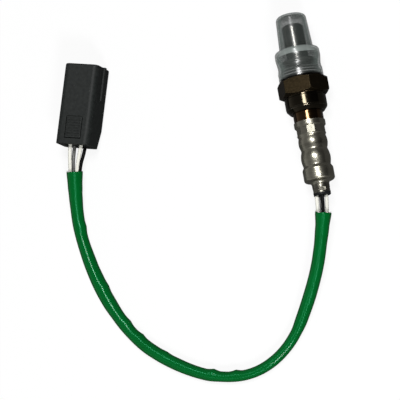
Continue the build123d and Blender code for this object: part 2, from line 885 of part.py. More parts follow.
# The rubber fills the neck, takes the shape of its crimp, and closes round each wire.
grommet_radius = end_band_radius - shell_wall - grommet_clearance
grommet_seat = shoulder + shell_wall + fit_clearance
with BuildPart() as rubber_grommet:
    with BuildSketch():
        with BuildLine():
            Polyline(
                (0, grommet_front),
                (grommet_radius, grommet_front),
                (grommet_radius, grommet_seat + grommet_bevel),
                (grommet_radius - grommet_bevel, grommet_seat),
                (neck_bore - fit_clearance, grommet_seat),
                (neck_bore - fit_clearance, neck_crimp_front),
                (neck_bore, neck_crimp_front),
                (neck_bore, neck_end),
                (neck_radius - grommet_rim_step, neck_end),
                (neck_radius - grommet_rim_step, grommet_end),
                (0, grommet_end),
                close=True,
            )
        make_face()
    revolve(axis=Axis.Y)
    with BuildSketch(Plane.XZ.offset(-neck_crimp_front)):
        Circle(neck_radius)
        RegularPolygon(neck_bore, neck_crimp_facets, mode=Mode.SUBTRACT)
    extrude(amount=neck_crimp_length, mode=Mode.SUBTRACT)
    chamfer(rubber_grommet.faces().sort_by(Axis.Y)[0].edges(), grommet_rim_edge)
    for wire in wires.values():
        add(wire.part, mode=Mode.SUBTRACT)
finish(rubber_grommet, "rubber_grommet")

# ---- connector ----------------------------------------------------------------------------------

hood_floor = mating_end - hood_depth
tail_front = wire_end + tail_length
top_face = connector_depth / 2
pad_rear = wire_end + pad_from_end
pad_middle = pad_rear + pad_length / 2
seal_bore_front = wire_end + seal_bore_depth
seal_bore_radius = (terminal_pitch - seal_bore_spacing) / 2
retainer_height = tower_size + 2 * retainer_margin
retainer_depth = (connector_width + tower_size) / 2 - tower_wall + retainer_overreach
lever_pocket = top_face - half_pitch - seal_bore_radius - tower_wall
cavity_list = list(cavity_places.values())

with BuildPart() as connector_housing:
    with BuildSketch(connector_section(mating_end)):
        RectangleRounded(connector_width, connector_depth, connector_edge)
    extrude(amount=mating_end - tail_front)
    # The last stretch draws in at one side and underneath, and stays level on top.
    with BuildSketch(connector_section(tail_front)):
        RectangleRounded(connector_width, connector_depth, connector_edge)
    with BuildSketch(connector_section(wire_end)):
        with Locations((-tail_draw_beside / 2, tail_draw_under / 2)):
            RectangleRounded(
                connector_width - tail_draw_beside,
                connector_depth - tail_draw_under,
                connector_edge,
            )
    loft()
    faces_along = connector_housing.faces().sort_by(Axis(in_connector(0, 0, 0), connector_heading))
    fillet(faces_along[-1].edges(), connector_mouth_rounding)
    # The open hood, with the tower of terminal cavities standing in it.
    with BuildSketch(connector_section(mating_end)):
        RectangleRounded(
            connector_width - 2 * hood_wall,
            connector_depth - 2 * hood_wall,
            hood_corner,
        )
        RectangleRounded(tower_size, tower_size, hood_corner, mode=Mode.SUBTRACT)
    extrude(amount=hood_depth, mode=Mode.SUBTRACT)
    with BuildSketch(connector_section(mating_end)):
        with Locations(*cavity_list):
            Rectangle(terminal_cavity, terminal_cavity)
    extrude(amount=mating_end - seal_bore_front, mode=Mode.SUBTRACT)
    with BuildSketch(connector_section(seal_bore_front)):
        with Locations(*cavity_list):
            Circle(seal_bore_radius)
    extrude(amount=seal_bore_depth, mode=Mode.SUBTRACT)
    # A guide rib runs back from the mating end on each side, low down.
    for side in (-1, 1):
        with BuildSketch(connector_section(mating_end)):
            with Locations((side * connector_width / 2, -guide_rib_drop)):
                Rectangle(2 * guide_rib_height, guide_rib_width)
        extrude(amount=guide_rib_length)
    # The mouth of the retainer, cut in from the left side behind the hood.
    with BuildSketch(connector_section(retainer_station + retainer_length + fit_clearance)):
        with Locations((-connector_width / 2, 0)):
            Rectangle(2 * retainer_depth, retainer_height + 2 * fit_clearance)
    extrude(amount=retainer_length + 2 * fit_clearance, mode=Mode.SUBTRACT)
    # The lock lever: a pocket under the pad, a slot round its two sides and its rear edge, and a
    # shallow groove across its root.
    with BuildSketch(connector_frame.offset(top_face - lever_pocket)):
        with Locations((0, pad_middle - lever_slot / 2)):
            Rectangle(pad_width + 2 * lever_slot, pad_length + lever_slot)
    extrude(amount=lever_pocket, mode=Mode.SUBTRACT)
    with BuildSketch(connector_frame.offset(top_face - lever_thickness)):
        with Locations((0, pad_middle)):
            Rectangle(pad_width, pad_length)
    extrude(amount=lever_thickness)
    with BuildSketch(connector_frame.offset(top_face)):
        with Locations((0, pad_middle + (pad_length + lever_slot) / 2)):
            Rectangle(pad_width + 2 * lever_slot, lever_slot)
    extrude(amount=-lever_root_groove, mode=Mode.SUBTRACT)
    pad_pitch = (pad_length - 2 * pad_margin) / pad_ribs
    with BuildSketch(connector_frame.offset(top_face)):
        for number in range(pad_ribs):
            with Locations((0, pad_rear + pad_margin + pad_pitch * (number + 0.5))):
                Rectangle(pad_width - pad_margin, pad_pitch / 2)
    extrude(amount=pad_rib_height)
finish(connector_housing, "connector_housing")

# The retainer slides in across the cavities and keeps the terminals from backing out.
with BuildPart() as terminal_retainer:
    with BuildSketch(connector_section(retainer_station + retainer_length)):
        with Locations((retainer_depth / 2 - connector_width / 2, 0)):
            Rectangle(retainer_depth, retainer_height)
        for row in (-half_pitch, half_pitch):
            with Locations((retainer_depth / 2 - connector_width / 2 + hood_wall, row)):
                Rectangle(retainer_depth, terminal_cavity, mode=Mode.SUBTRACT)
    extrude(amount=retainer_length)
finish(terminal_retainer, "terminal_retainer")

receptacle_front = mating_end - receptacle_recess
receptacle_rear = receptacle_front - receptacle_length
receptacle_size = terminal_cavity - 2 * terminal_clearance
seal_rear = wire_end + wire_seal_recess
lip_pitch = wire_seal_length / wire_seal_lips
for number, name in enumerate(wire_names, start=1):
    across, up = cavity_places[name]
    # Folded from one sheet: a square receptacle, a narrow neck and the barrel closed on the wire.
    with BuildPart() as terminal:
        with BuildSketch(connector_section(receptacle_front)):
            with Locations((across, up)):
                Rectangle(receptacle_size, receptacle_size)
                Rectangle(
                    receptacle_size - 2 * terminal_sheet,
                    receptacle_size - 2 * terminal_sheet,
                    mode=Mode.SUBTRACT,
                )
        extrude(amount=receptacle_length)
        with BuildSketch(connector_section(receptacle_rear)):
            with Locations((across, up)):
                Rectangle(receptacle_size, receptacle_size)
        extrude(amount=terminal_sheet)
        with BuildSketch(connector_section(receptacle_rear)):
            with Locations((across, up)):
                Rectangle(terminal_neck, terminal_neck)
        extrude(amount=receptacle_rear - terminal_crimp_station - terminal_crimp_length / 2)
        with BuildSketch(connector_section(terminal_crimp_station + terminal_crimp_length)):
            with Locations((across, up)):
                Circle(crimp_barrel_radius)
        extrude(amount=terminal_crimp_length)
    finish(terminal, f"terminal_{number}")
    # A silicone seal sits on the wire in the round bore, with three lips against its wall.
    with BuildPart() as wire_seal:
        with BuildSketch(connector_section(seal_rear + wire_seal_length)):
            with Locations((across, up)):
                Circle(wire_radius + wire_seal_wall)
        extrude(amount=wire_seal_length)
        for lip in range(wire_seal_lips):
            with BuildSketch(connector_section(seal_rear + wire_seal_length - lip_pitch * (lip + 0.25))):
                with Locations((across, up)):
                    Circle(seal_bore_radius - fit_clearance)
            extrude(amount=lip_pitch / 2)
        add(wires[name].part, mode=Mode.SUBTRACT)
    finish(wire_seal, f"wire_seal_{number}")

# ---- files --------------------------------------------------------------------------------------

os.makedirs("parts", exist_ok=True)
for part in parts:
    export_step(part, f"parts/{part.label}.step")
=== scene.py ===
from math import cos, pi, radians, sin

import bmesh
import bpy
from mathutils import Matrix, Vector, noise


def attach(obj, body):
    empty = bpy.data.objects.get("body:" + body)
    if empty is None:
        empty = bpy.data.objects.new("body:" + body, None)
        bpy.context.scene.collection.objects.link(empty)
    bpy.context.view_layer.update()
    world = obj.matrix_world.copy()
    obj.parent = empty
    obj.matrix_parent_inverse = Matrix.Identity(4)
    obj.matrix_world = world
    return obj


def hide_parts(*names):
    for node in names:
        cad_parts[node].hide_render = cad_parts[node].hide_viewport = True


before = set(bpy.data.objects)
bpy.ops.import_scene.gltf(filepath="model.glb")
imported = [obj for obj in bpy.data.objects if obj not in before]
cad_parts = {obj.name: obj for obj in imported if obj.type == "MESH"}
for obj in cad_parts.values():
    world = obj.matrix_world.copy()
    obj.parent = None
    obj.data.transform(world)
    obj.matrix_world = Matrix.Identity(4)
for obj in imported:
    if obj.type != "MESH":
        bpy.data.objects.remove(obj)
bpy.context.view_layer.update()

# ---- Camera --------------------------------------------------------------------------------------
# A long lens looks almost straight down on the sensor and its lead as they lie on a table. It leans
# a little towards the wire end, so the round end of the lead is nearest to the eye.
mm = 0.001
camera_right = Vector((0.9338, -0.1631, -0.3185)).normalized()
camera_up = Vector((0.2173, 0.9657, 0.1424)).normalized()
camera_back = camera_right.cross(camera_up)
camera_target = Vector((-58.3, -47.6, 7.4)) * mm
camera_distance = 1070 * mm


def add_object(name, data):
    """Put an object with this data into the scene."""
    added = bpy.data.objects.new(name, data)
    bpy.context.collection.objects.link(added)
    return added


camera_data = bpy.data.cameras.new("camera")
camera_data.sensor_width = 36
camera_data.lens = 200
camera_data.clip_start = 0.05
camera = add_object("camera", camera_data)
facing = Matrix((camera_right, camera_up, camera_back)).transposed().to_4x4()
camera.matrix_world = Matrix.Translation(camera_target + camera_back * camera_distance) @ facing
bpy.context.scene.camera = camera
bpy.context.scene.view_settings.view_transform = "Standard"

# ---- Wires ---------------------------------------------------------------------------------------
# Four stranded wires in smooth fluoropolymer insulation: two white heater wires, a black signal
# wire and its grey ground. They run from the contacts in the shell, through the rubber, to the
# connector.
floor_height = -11.0 * mm
wire_radius = 0.9 * mm
lead_start = Vector((0.0, -0.06105, 0.0))
# Across, along and above the table. The lead lies lower where the sleeve is tight on the wires.
lead_points = (
    (-0.0069, -0.0846, 0.0080),
    (-0.0170, -0.1035, 0.0041),
    (-0.0298, -0.1234, 0.00275),
    (-0.0489, -0.1339, 0.00262),
    (-0.0707, -0.1316, 0.00265),
    (-0.0907, -0.1202, 0.00300),
    (-0.1068, -0.1056, 0.00310),
    (-0.1178, -0.0851, 0.00345),
    (-0.1244, -0.0634, 0.00370),
    (-0.1273, -0.0385, 0.0054),
    (-0.1230, -0.0150, 0.0078),
)
lead_line = [lead_start] + [Vector((x, y, floor_height + height)) for x, y, height in lead_points]

# How far a wire lies from the middle of the bundle. It is tight at the first points of the lead.
bundle_inside = 0.5 * wire_radius
bundle_tight = 1.42 * wire_radius
bundle_parted = 1.9 * wire_radius
bundle_loose = 2.4 * wire_radius
bundle_mouth = 2.75 * wire_radius
tight_points = 6


def wire_lay(straight, crossing, crossed, turning, arrived):
    """One wire's places in the bundle: before, at and after the crossing, then as it turns."""
    return (
        [(straight, bundle_tight)] * tight_points
        + [(straight, bundle_parted), crossing, (crossed, bundle_loose)]
        + [(turning, bundle_parted), (arrived, bundle_mouth)]
    )


def sideways(line, index):
    """The level direction to the bend's inner side at a point, stretched to suit its corner."""
    arriving = line[index] - line[index - 1]
    leaving = line[index + 1] - line[index] if index < len(line) - 1 else arriving
    first = Vector((arriving.y, -arriving.x, 0)).normalized()
    second = Vector((leaving.y, -leaving.x, 0)).normalized()
    middle = (first + second).normalized()
    return middle / middle.dot(first)


def lay_curve(name, points):
    """A smooth line through the lead, drawn towards each of its points."""
    curve = bpy.data.curves.new(name, "CURVE")
    curve.dimensions = "3D"
    spline = curve.splines.new("NURBS")
    spline.points.add(len(points) - 1)
    for place, point in zip(spline.points, points):
        place.co = (*point, 1)
    spline.order_u = 3
    spline.use_endpoint_u = True
    return add_object(name, curve)


connector_turn = radians(17.0)
connector_depth = 17.5 * mm
connector_entry = Vector((-0.11921, -0.00486, floor_height + connector_depth / 2))
connector_across = Vector((cos(connector_turn), -sin(connector_turn), 0))
connector_along = Vector((sin(connector_turn), cos(connector_turn), 0))


def in_connector(across, along, up):
    """A point from the middle of the connector's wire end: across it, into it, and up."""
    place = connector_entry + connector_across * across + connector_along * along
    return place + Vector((0, 0, up))


wire_start = -0.04295
wire_fan = 1.0 * mm
terminal_barrel = 8.75 * mm
half_pitch = 3.0 * mm
wire_circle = 2.5 * mm
wires = (
    ("white_a", 157, (half_pitch, half_pitch), wire_lay(30, (255, bundle_inside), 120, 82, 45)),
    ("black", 67, (half_pitch, -half_pitch), wire_lay(120, (75, bundle_loose), 30, -8, -45)),
    ("white_b", -23, (-half_pitch, half_pitch), wire_lay(210, (210, bundle_loose), 210, 172, 135)),
    ("grey", -113, (-half_pitch, -half_pitch), wire_lay(300, (300, bundle_loose), 300, 262, 225)),
)


def new_material(name, constants):
    """A material whose even values are set on its shader's own sockets."""
    material = bpy.data.materials.new(name)
    material.use_nodes = True
    tree = material.node_tree
    shader = tree.nodes["Principled BSDF"]
    for socket, value in constants.items():
        shader.inputs[socket].default_value = value
    return material, tree, shader


def node(tree, kind, values=None, **settings):
    """Add one node, with its settings and the values of its named or numbered inputs."""
    added = tree.nodes.new(kind)
    for setting, value in settings.items():
        setattr(added, setting, value)
    for socket, value in (values or {}).items():
        added.inputs[socket].default_value = value
    return added


def link(source, output, target, socket):
    """Join one node's output to another node's input."""
    target.id_data.links.new(source.outputs[output], target.inputs[socket])


def new_group(name, inputs, outputs):
    """An empty node group with named number and vector sockets."""
    group = bpy.data.node_groups.new(name, "ShaderNodeTree")
    for socket_name, kind, value in inputs:
        socket = group.interface.new_socket(socket_name, in_out="INPUT", socket_type=kind)
        if value is not None:
            socket.default_value = value
    for socket_name, kind in outputs:
        group.interface.new_socket(socket_name, in_out="OUTPUT", socket_type=kind)
    return group, group.nodes.new("NodeGroupInput"), group.nodes.new("NodeGroupOutput")


def grouped(tree, group, values):
    """Place a node group in a material with this material's own values."""
    added = tree.nodes.new("ShaderNodeGroup")
    added.node_tree = group
    for socket, value in values.items():
        added.inputs[socket].default_value = value
    return added


# Handling marks: soft patches, and fine specks that catch the light.
handling, handling_in, handling_out = new_group(
    "handling_marks",
    [
        ("Place", "NodeSocketVector", None),
        ("Patch size", "NodeSocketFloat", 250.0),
        ("Speck size", "NodeSocketFloat", 1500.0),
        ("Specks", "NodeSocketFloat", 0.72),
    ],
    [("Patches", "NodeSocketFloat"), ("Specks", "NodeSocketFloat"), ("Grain", "NodeSocketFloat")],
)
patches = node(handling, "ShaderNodeTexNoise", {"Detail": 3.0, "Roughness": 0.6})
specks = node(handling, "ShaderNodeTexNoise", {"Detail": 1.0, "Roughness": 0.4})
speck_edge = node(handling, "ShaderNodeMath", operation="SUBTRACT")
speck_gain = node(handling, "ShaderNodeMath", {1: 12.0}, operation="MULTIPLY", use_clamp=True)
link(handling_in, "Place", patches, "Vector")
link(handling_in, "Patch size", patches, "Scale")
link(handling_in, "Place", specks, "Vector")
link(handling_in, "Speck size", specks, "Scale")
link(specks, "Fac", speck_edge, 0)
link(handling_in, "Specks", speck_edge, 1)
link(speck_edge, 0, speck_gain, 0)
link(patches, "Fac", handling_out, "Patches")
link(speck_gain, 0, handling_out, "Specks")
link(specks, "Fac", handling_out, "Grain")


def marked_material(name, constants, dark, light, rough, marks, bump, bump_distance=0.02 * mm):
    """A moulded, pressed or sintered surface: two near colours, an uneven gloss, a fine bump."""
    material, tree, shader = new_material(name, constants)
    place = node(tree, "ShaderNodeTexCoord")
    spots = grouped(tree, handling, marks)
    link(place, "Object", spots, "Place")
    tone = node(tree, "ShaderNodeMix", {"A": (*dark, 1), "B": (*light, 1)}, data_type="RGBA")
    gloss = node(tree, "ShaderNodeMapRange", {"To Min": rough[0], "To Max": rough[1]})
    relief = node(tree, "ShaderNodeBump", {"Strength": bump, "Distance": bump_distance})
    link(spots, "Patches", tone, "Factor")
    link(tone, "Result", shader, "Base Color")
    link(spots, "Patches", gloss, "Value")
    link(gloss, "Result", shader, "Roughness")
    link(spots, "Grain", relief, "Height")
    link(relief, "Normal", shader, "Normal")
    return material


insulation_marks = {"Patch size": 90.0, "Speck size": 900.0, "Specks": 0.8}
insulation_finish = {"IOR": 1.38, "Specular IOR Level": 0.5}
insulation = {
    "white": marked_material(
        "white_insulation",
        insulation_finish,
        (0.80, 0.79, 0.70),
        (0.92, 0.91, 0.84),
        (0.25, 0.40),
        insulation_marks,
        0.10,
    ),
    "black": marked_material(
        "black_insulation",
        {"IOR": 1.38, "Specular IOR Level": 0.12},
        (0.004, 0.004, 0.004),
        (0.009, 0.009, 0.009),
        (0.22, 0.38),
        insulation_marks,
        0.10,
    ),
    "grey": marked_material(
        "grey_insulation",
        insulation_finish,
        (0.17, 0.17, 0.165),
        (0.27, 0.27, 0.26),
        (0.25, 0.40),
        insulation_marks,
        0.10,
    ),
}

for number, (wire, angle, (across, up), lay) in enumerate(wires, start=1):
    beside = Vector((cos(radians(angle)), 0, sin(radians(angle)))) * wire_circle
    route = [Vector((0, wire_start, 0)) + beside, lead_start + beside]
    for index, (turn, offset) in enumerate(lay, start=1):
        inward = sideways(lead_line, index) * (offset * cos(radians(turn)))
        route.append(lead_line[index] + inward + Vector((0, 0, offset * sin(radians(turn)))))
    route.append(in_connector(across, -wire_fan, up))
    route.append(in_connector(across, terminal_barrel, up))
    piece = lay_curve(f"insulated_wire_{wire}", route)
    piece.data.bevel_depth = wire_radius
    piece.data.bevel_resolution = 6
    piece.data.use_fill_caps = True
    colour = wire.split("_")[0]
    piece.data.materials.append(insulation[colour])
    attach(piece, "root")
    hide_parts(f"wire_{wire}")

# ---- Braided sleeve ------------------------------------------------------------------------------
# One tube of glass-fibre yarns, braided, dipped in green varnish and cut to length. It is slipped
# over the four wires, and its cut ends open a little and shed a few stiff fibres.
sleeve_wall = 0.35 * mm
# Distance along the sleeve and outer radius there, in millimetres: it opens at both ends and hugs
# the wires between them.
sleeve_shape = (
    (0, 3.95),
    (7, 3.38),
    (17, 3.10),
    (42, 3.12),
    (52, 3.00),
    (60, 2.65),
    (70, 2.54),
    (104, 2.54),
    (112, 2.85),
    (130, 3.08),
    (142, 3.18),
    (157, 3.05),
    (167, 3.20),
    (177, 3.52),
    (187, 3.55),
    (197, 3.38),
    (210, 3.10),
    (225, 3.22),
    (233, 3.42),
    (238, 3.70),
    (246, 4.10),
)
# Where it buckles on the inner side of its bend, and how far, in millimetres.
sleeve_buckles = (
    (97, 0.80),
    (109, 0.75),
    (136, 0.30),
    (152, 0.50),
    (162, 0.45),
    (184, 0.40),
    (217, 0.45),
)
buckle_length = 4.0 * mm
buckle_fade = 1.5
sleeve_start_gap = 4.5 * mm
sleeve_end_gap = 2.0 * mm
braid_carriers = 16
braid_pitch = 21.0 * mm
braid_relief = 0.06 * mm
crown_roundness = 0.6
arch_base = 0.45
arch_rise = 0.55
mean_braid_height = 0.6
cut_raggedness = 0.45 * mm
rags_around = 3
rags_between_ends = 100
out_of_round = 0.07 * mm
unevenness_along = 110
guide_steps = 56
columns_outside = 96
columns_inside = 32

first_run = (lead_line[1] - lead_line[0]).normalized()
last_run = (lead_line[-1] - lead_line[-2]).normalized()
sleeve_route = [lead_line[0] + first_run * sleeve_start_gap]
sleeve_route += lead_line[1:-1]
sleeve_route += [lead_line[-1] - last_run * sleeve_end_gap]


def finished_mesh(thing):
    """The mesh that an object ends up as."""
    settled = thing.evaluated_get(bpy.context.evaluated_depsgraph_get())
    return bpy.data.meshes.new_from_object(settled)


sleeve_guide = lay_curve("sleeve_guide", sleeve_route)
sleeve_guide.data.resolution_u = guide_steps
guide_mesh = finished_mesh(sleeve_guide)
sleeve_path = [vertex.co.copy() for vertex in guide_mesh.vertices]
bpy.data.objects.remove(sleeve_guide)
bpy.data.meshes.remove(guide_mesh)


def path_stations(path):
    """Each point's distance from the start, place, direction, and two sides that don't twist."""
    stations = []
    travelled = 0.0
    side = Vector((0, 0, 1))
    for index, point in enumerate(path):
        before = path[max(index - 1, 0)]
        after = path[min(index + 1, len(path) - 1)]
        ahead = (after - before).normalized()
        side = (side - ahead * side.dot(ahead)).normalized()
        travelled += (point - before).length
        stations.append((travelled, point, ahead, side, ahead.cross(side)))
    return stations


def braid_height(turn, travelled):
    """How far a yarn stands up at this place, from 0 between two yarns to 1 on a crown."""
    left = braid_carriers * turn + travelled * braid_carriers / braid_pitch
    right = braid_carriers * turn - travelled * braid_carriers / braid_pitch
    left_over = (int(left // 1) + int(right // 1)) % 2 == 0
    across = (left if left_over else right) % 1.0
    along = (right if left_over else left) % 1.0
    return (sin(pi * across) ** crown_roundness) * (arch_base + arch_rise * sin(pi * along))


def sleeve_outside(travelled):
    """The sleeve's outer radius at this distance, eased between the stations of its shape."""
    distance = travelled / mm
    for (start, here), (end, there) in zip(sleeve_shape, sleeve_shape[1:]):
        if distance <= end:
            share = (1 - cos(pi * max(0.0, distance - start) / (end - start))) / 2
            return (here + (there - here) * share) * mm
    return sleeve_shape[-1][1] * mm


def buckled(travelled, inward):
    """How far the wall buckles out at this distance, where its outward direction faces inward."""
    height = sum(
        rise * mm * max(0.0, 1 - abs(travelled - middle * mm) / buckle_length) ** buckle_fade
        for middle, rise in sleeve_buckles
    )
    return height * max(0.0, inward) ** buckle_fade


sleeve_stations = path_stations(sleeve_path)
sleeve_mesh = bmesh.new()
sleeve_uv = sleeve_mesh.loops.layers.uv.new("braid")
walls = []
for outside, columns in ((True, columns_outside), (False, columns_inside)):
    rings = []
    for row, (travelled, middle, ahead, side, across) in enumerate(sleeve_stations):
        at_end = (row == 0) - (row == len(sleeve_stations) - 1)
        inner_side = Vector((ahead.y, -ahead.x, 0)).normalized()
        ring = []
        for column in range(columns):
            turn = column / columns
            out = side * cos(2 * pi * turn) + across * sin(2 * pi * turn)
            # The varnished tube isn't quite round, buckles where it bends, and rests on the table.
            stand = sleeve_outside(travelled) - (0 if outside else sleeve_wall)
            stand += buckled(travelled, out.dot(inner_side))
            uneven_at = (travelled * unevenness_along, cos(2 * pi * turn), sin(2 * pi * turn))
            stand += out_of_round * noise.noise(Vector(uneven_at))
            if outside:
                stand += braid_relief * (braid_height(turn, travelled) - mean_braid_height)
            ragged_at = out * rags_around + middle * rags_between_ends
            ragged = noise.noise(ragged_at) * cut_raggedness * at_end
            spot = middle + out * stand - ahead * ragged
            spot.z = max(spot.z, floor_height)
            ring.append(sleeve_mesh.verts.new(spot))
        rings.append(ring)
    walls.append(rings)
    for row in range(len(rings) - 1):
        for column in range(columns):
            following = (column + 1) % columns
            corners = [
                (rings[row][column], column, row),
                (rings[row][following], column + 1, row),
                (rings[row + 1][following], column + 1, row + 1),
                (rings[row + 1][column], column, row + 1),
            ]
            if not outside:
                corners.reverse()
            face = sleeve_mesh.faces.new([corner[0] for corner in corners])
            face.smooth = True
            for loop, (_, turn_step, row_step) in zip(face.loops, corners):
                travelled = sleeve_stations[row_step][0]
                loop[sleeve_uv].uv = (turn_step / columns, travelled / braid_pitch)
# The cut ends are closed between the outer and the inner wall.
for end in (0, -1):
    rim = [
        sleeve_mesh.edges.get((rings[end][column], rings[end][(column + 1) % len(rings[end])]))
        for rings in walls
        for column in range(len(rings[end]))
    ]
    bmesh.ops.bridge_loops(sleeve_mesh, edges=rim)
bmesh.ops.recalc_face_normals(sleeve_mesh, faces=sleeve_mesh.faces)
sleeve_data = bpy.data.meshes.new("braided_sleeve")
sleeve_mesh.to_mesh(sleeve_data)
sleeve_mesh.free()
braided_sleeve = add_object("braided_sleeve", sleeve_data)

green_varnish, tree, shader = new_material(
    "green_glass_fibre",
    {
        "IOR": 1.5,
        "Specular IOR Level": 0.35,
        "Anisotropic": 1.0,
        "Anisotropic Rotation": 0.25,
        "Coat Roughness": 0.10,
        # The varnish is dyed through, so what it reflects is green as well.
        "Specular Tint": (0.15, 1.0, 0.55, 1),
    },
)
surface = node(tree, "ShaderNodeUVMap", uv_map="braid")
split = node(tree, "ShaderNodeSeparateXYZ")
link(surface, "UV", split, 0)
around = node(tree, "ShaderNodeMath", {1: float(braid_carriers)}, operation="MULTIPLY")
along = node(tree, "ShaderNodeMath", {1: float(braid_carriers)}, operation="MULTIPLY")
link(split, "X", around, 0)
link(split, "Y", along, 0)
left_yarn = node(tree, "ShaderNodeMath", operation="ADD")
right_yarn = node(tree, "ShaderNodeMath", operation="SUBTRACT")
yarn_places = []
for yarn in (left_yarn, right_yarn):
    link(around, 0, yarn, 0)
    link(along, 0, yarn, 1)
    within = node(tree, "ShaderNodeMath", operation="FRACT")
    whole = node(tree, "ShaderNodeMath", operation="FLOOR")
    link(yarn, 0, within, 0)
    link(yarn, 0, whole, 0)
    yarn_places.append((within, whole))
count = node(tree, "ShaderNodeMath", operation="ADD")
parity = node(tree, "ShaderNodeMath", {1: 2.0}, operation="FLOORED_MODULO")
link(yarn_places[0][1], 0, count, 0)
link(yarn_places[1][1], 0, count, 1)
link(count, 0, parity, 0)
across_yarn = node(tree, "ShaderNodeMix", data_type="FLOAT")
link(parity, 0, across_yarn, "Factor")
link(yarn_places[0][0], 0, across_yarn, "A")
link(yarn_places[1][0], 0, across_yarn, "B")
# Fibres lie along each yarn, and the colour is darker in the gaps between yarns.
fibres_across_yarn = 5
fibre_turns = {1: 2 * pi * fibres_across_yarn}
fibre_angle = node(tree, "ShaderNodeMath", fibre_turns, operation="MULTIPLY")
fibre_wave = node(tree, "ShaderNodeMath", operation="SINE")
crown_angle = node(tree, "ShaderNodeMath", {1: pi}, operation="MULTIPLY")
crown = node(tree, "ShaderNodeMath", operation="SINE")
link(across_yarn, "Result", fibre_angle, 0)
link(fibre_angle, 0, fibre_wave, 0)
link(across_yarn, "Result", crown_angle, 0)
link(crown_angle, 0, crown, 0)
along_yarn = node(tree, "ShaderNodeMix", data_type="FLOAT")
arch_angle = node(tree, "ShaderNodeMath", {1: pi}, operation="MULTIPLY")
arch = node(tree, "ShaderNodeMath", operation="SINE")
crown_peak = node(tree, "ShaderNodeMath", operation="MULTIPLY")
link(parity, 0, along_yarn, "Factor")
link(yarn_places[1][0], 0, along_yarn, "A")
link(yarn_places[0][0], 0, along_yarn, "B")
link(along_yarn, "Result", arch_angle, 0)
link(arch_angle, 0, arch, 0)
link(arch, 0, crown_peak, 0)
link(crown, 0, crown_peak, 1)
fibre_height = node(tree, "ShaderNodeMath", {1: 0.06}, operation="MULTIPLY_ADD")
link(fibre_wave, 0, fibre_height, 0)
link(crown_peak, 0, fibre_height, 2)
braid_bump = node(tree, "ShaderNodeBump", {"Strength": 0.3, "Distance": 0.05 * mm})
# The crowns carry the glossiest varnish.
varnish_coat = node(
    tree,
    "ShaderNodeMapRange",
    {"From Min": 0.30, "From Max": 0.90, "To Min": 0.04, "To Max": 0.40},
    interpolation_type="SMOOTHSTEP",
)
link(crown_peak, 0, varnish_coat, "Value")
link(varnish_coat, "Result", shader, "Coat Weight")
# The crowns are rounded along the sleeve, so each highlight is drawn out that way.
round_sleeve = node(tree, "ShaderNodeTangent", direction_type="UV_MAP", uv_map="braid")
link(round_sleeve, "Tangent", shader, "Tangent")
link(fibre_height, 0, braid_bump, "Height")
link(braid_bump, "Normal", shader, "Normal")
place = node(tree, "ShaderNodeTexCoord")
spots = grouped(tree, handling, {"Patch size": 160.0, "Speck size": 2600.0, "Specks": 0.68})
link(place, "Object", spots, "Place")
yarn_tone = node(
    tree,
    "ShaderNodeMix",
    {"A": (0.0, 0.026, 0.004, 1), "B": (0.0, 0.132, 0.016, 1)},
    data_type="RGBA",
)
varnish_tone = node(tree, "ShaderNodeMix", {"B": (0.0, 0.132, 0.022, 1)}, data_type="RGBA")
link(crown, 0, yarn_tone, "Factor")
link(yarn_tone, "Result", varnish_tone, "A")
link(spots, "Patches", varnish_tone, "Factor")
link(varnish_tone, "Result", shader, "Base Color")
varnish_gloss = node(tree, "ShaderNodeMapRange", {"To Min": 0.30, "To Max": 0.22})
link(crown, 0, varnish_gloss, "Value")
link(varnish_gloss, "Result", shader, "Roughness")
sleeve_data.materials.append(green_varnish)

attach(braided_sleeve, "root")
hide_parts("green_sleeve")

# Stiff fibres stand out of each cut end, scattered round the rim by a node tree.
fibre_count = 46
fibre_length = 1.1 * mm
fibre_radius = 0.045 * mm
rim_steps = 48
fibre_tree = bpy.data.node_groups.new("cut_fibres", "GeometryNodeTree")
for socket_name, kind in (
    ("Geometry", "NodeSocketGeometry"),
    ("Fibres", "NodeSocketInt"),
    ("Length", "NodeSocketFloat"),
    ("Thickness", "NodeSocketFloat"),
    ("Seed", "NodeSocketInt"),
):
    fibre_tree.interface.new_socket(socket_name, in_out="INPUT", socket_type=kind)
fibre_tree.interface.new_socket("Geometry", in_out="OUTPUT", socket_type="NodeSocketGeometry")
fibre_in = fibre_tree.nodes.new("NodeGroupInput")
fibre_out = fibre_tree.nodes.new("NodeGroupOutput")
rim_curve = node(fibre_tree, "GeometryNodeMeshToCurve")
rim_points = node(fibre_tree, "GeometryNodeResampleCurve", mode="COUNT")
stem = node(fibre_tree, "GeometryNodeMeshCone", {"Vertices": 5, "Side Segments": 3})
place_stems = node(fibre_tree, "GeometryNodeInstanceOnPoints")
stand_up = node(fibre_tree, "FunctionNodeAlignRotationToVector", axis="Z")
lean = node(
    fibre_tree,
    "FunctionNodeRandomValue",
    {"Min": (-0.5, -0.5, 0.0), "Max": (0.5, 0.5, 3.0)},
    data_type="FLOAT_VECTOR",
)
tilt = node(fibre_tree, "FunctionNodeRotateRotation", rotation_space="LOCAL")
to_rotation = node(fibre_tree, "FunctionNodeEulerToRotation")
grow = node(fibre_tree, "FunctionNodeRandomValue", {2: 0.25, 3: 1.2}, data_type="FLOAT")
outward = node(
    fibre_tree,
    "GeometryNodeInputNamedAttribute",
    {"Name": "outward"},
    data_type="FLOAT_VECTOR",
)
realise = node(fibre_tree, "GeometryNodeRealizeInstances")
varnish_them = node(fibre_tree, "GeometryNodeSetMaterial", {"Material": green_varnish})
link(fibre_in, "Geometry", rim_curve, "Mesh")
link(rim_curve, "Curve", rim_points, "Curve")
link(fibre_in, "Fibres", rim_points, "Count")
link(rim_points, "Curve", place_stems, "Points")
link(fibre_in, "Length", stem, "Depth")
link(fibre_in, "Thickness", stem, "Radius Bottom")
link(stem, "Mesh", place_stems, "Instance")
link(outward, "Attribute", stand_up, "Vector")
